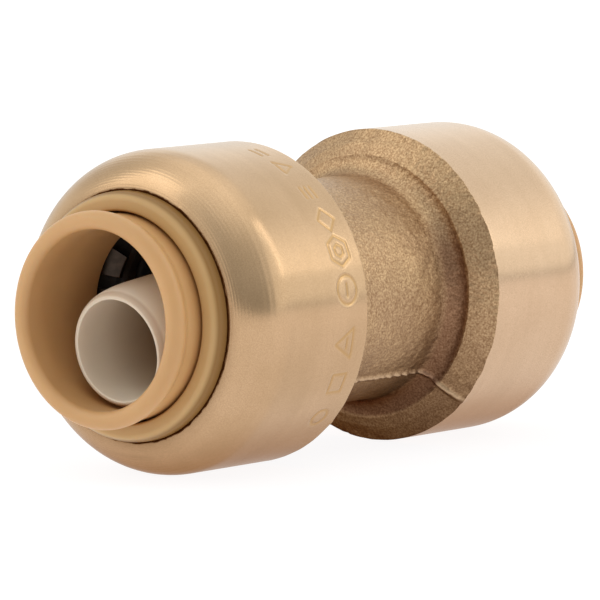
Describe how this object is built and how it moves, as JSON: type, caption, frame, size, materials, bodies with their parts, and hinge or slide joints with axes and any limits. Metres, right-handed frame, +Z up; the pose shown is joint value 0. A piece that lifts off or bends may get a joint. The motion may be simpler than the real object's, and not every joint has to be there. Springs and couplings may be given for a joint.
{
  "type": "push fit coupling",
  "caption": "Straight push fit coupling for 1/2 in pipe: brass body, two sockets with release collars, grab rings, O-rings and loose tube liners.",
  "frame": {"origin": "middle of the neck, on the coupling's axis", "axes": "+X along the coupling's axis towards the right-hand socket, +Z up"},
  "size_m": [0.0606, 0.0294, 0.0294],
  "materials": {
    "brass": "satin turned brass on the heads, sand cast and unpolished on the neck",
    "collar_plastic": "satin moulded tan",
    "liner_plastic": "slightly translucent natural white",
    "protector_plastic": "moulded",
    "rubber": "smooth moulded",
    "stainless_steel": "stamped stainless sheet"
  },
  "bodies": {
    "housing": {"body": "brass", "left_o_ring": "rubber", "left_o_ring_protector": "protector_plastic", "left_collar_retainer": "collar_plastic", "right_o_ring": "rubber", "right_o_ring_protector": "protector_plastic", "right_collar_retainer": "collar_plastic"},
    "left_grab": {"left_grab_ring": "stainless_steel"},
    "left_collar": {"left_release_collar": "collar_plastic"},
    "left_liner": {"left_tube_liner": "liner_plastic"},
    "right_grab": {"right_grab_ring": "stainless_steel"},
    "right_collar": {"right_release_collar": "collar_plastic"},
    "right_liner": {"right_tube_liner": "liner_plastic"}
  },
  "joints": [
    {"name": "left_grab_spin", "type": "hinge", "parent": "housing", "child": "left_grab", "pos_m": [-0.0196, 0, 0], "axis": [-1, 0, 0], "continuous": true},
    {"name": "left_collar_push", "type": "slide", "parent": "left_grab", "child": "left_collar", "axis": [1, 0, 0], "range_m": [0, 0.002], "stiffness_N_per_m": 2000, "deforming": ["left_grab_ring"]},
    {"name": "left_liner_tilt", "type": "hinge", "parent": "housing", "child": "left_liner", "pos_m": [-0.0022, 0, 0], "axis": [0, 1, 0], "range_deg": [0, 13.4]},
    {"name": "right_grab_spin", "type": "hinge", "parent": "housing", "child": "right_grab", "pos_m": [0.0196, 0, 0], "axis": [1, 0, 0], "continuous": true},
    {"name": "right_collar_push", "type": "slide", "parent": "right_grab", "child": "right_collar", "axis": [-1, 0, 0], "range_m": [0, 0.002], "stiffness_N_per_m": 2000, "deforming": ["right_grab_ring"]},
    {"name": "right_liner_tilt", "type": "hinge", "parent": "housing", "child": "right_liner", "pos_m": [0.0022, 0, 0], "axis": [0, -1, 0], "range_deg": [0, 13.4]}
  ]
}
